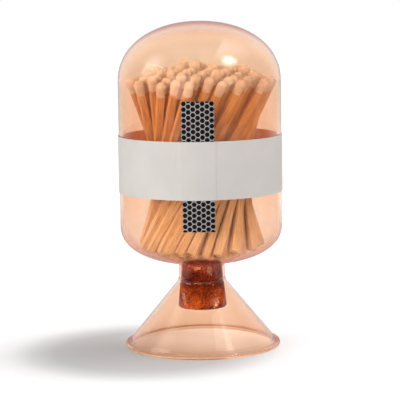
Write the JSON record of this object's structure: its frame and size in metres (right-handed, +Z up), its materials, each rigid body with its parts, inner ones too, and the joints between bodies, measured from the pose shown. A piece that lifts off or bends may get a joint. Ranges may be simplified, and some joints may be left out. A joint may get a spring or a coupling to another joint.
{
  "type": "match cloche",
  "caption": "Tinted glass cloche on a conical foot, stopped with a cork, holding a twisted bundle of long matches, with a paper band and a striking strip.",
  "frame": {"origin": "centre of the foot's rim, on the surface that it stands on", "axes": "+Z up along the glass's axis, front with the striking strip towards -Y, +X to the viewer's right"},
  "size_m": [0.0852, 0.0858, 0.1696],
  "materials": {
    "tinted_glass": "polished",
    "cork": "matte",
    "striker": "matte",
    "band_paper": "matte",
    "splint_wood": "raw",
    "match_head": "matte"
  },
  "bodies": {
    "cloche": {"glass_cloche": "tinted_glass", "striker_strip": "striker", "paper_band": "band_paper", "splints_core": "splint_wood", "splints_middle": "splint_wood", "splints_outer": "splint_wood", "heads_core": "match_head", "heads_middle": "match_head", "heads_outer": "match_head"},
    "stopper": {"cork_stopper": "cork"}
  },
  "joints": [
    {"name": "cork_pull", "type": "slide", "parent": "cloche", "child": "stopper", "axis": [0, 0, -1], "range_m": [0, 0.017]}
  ]
}
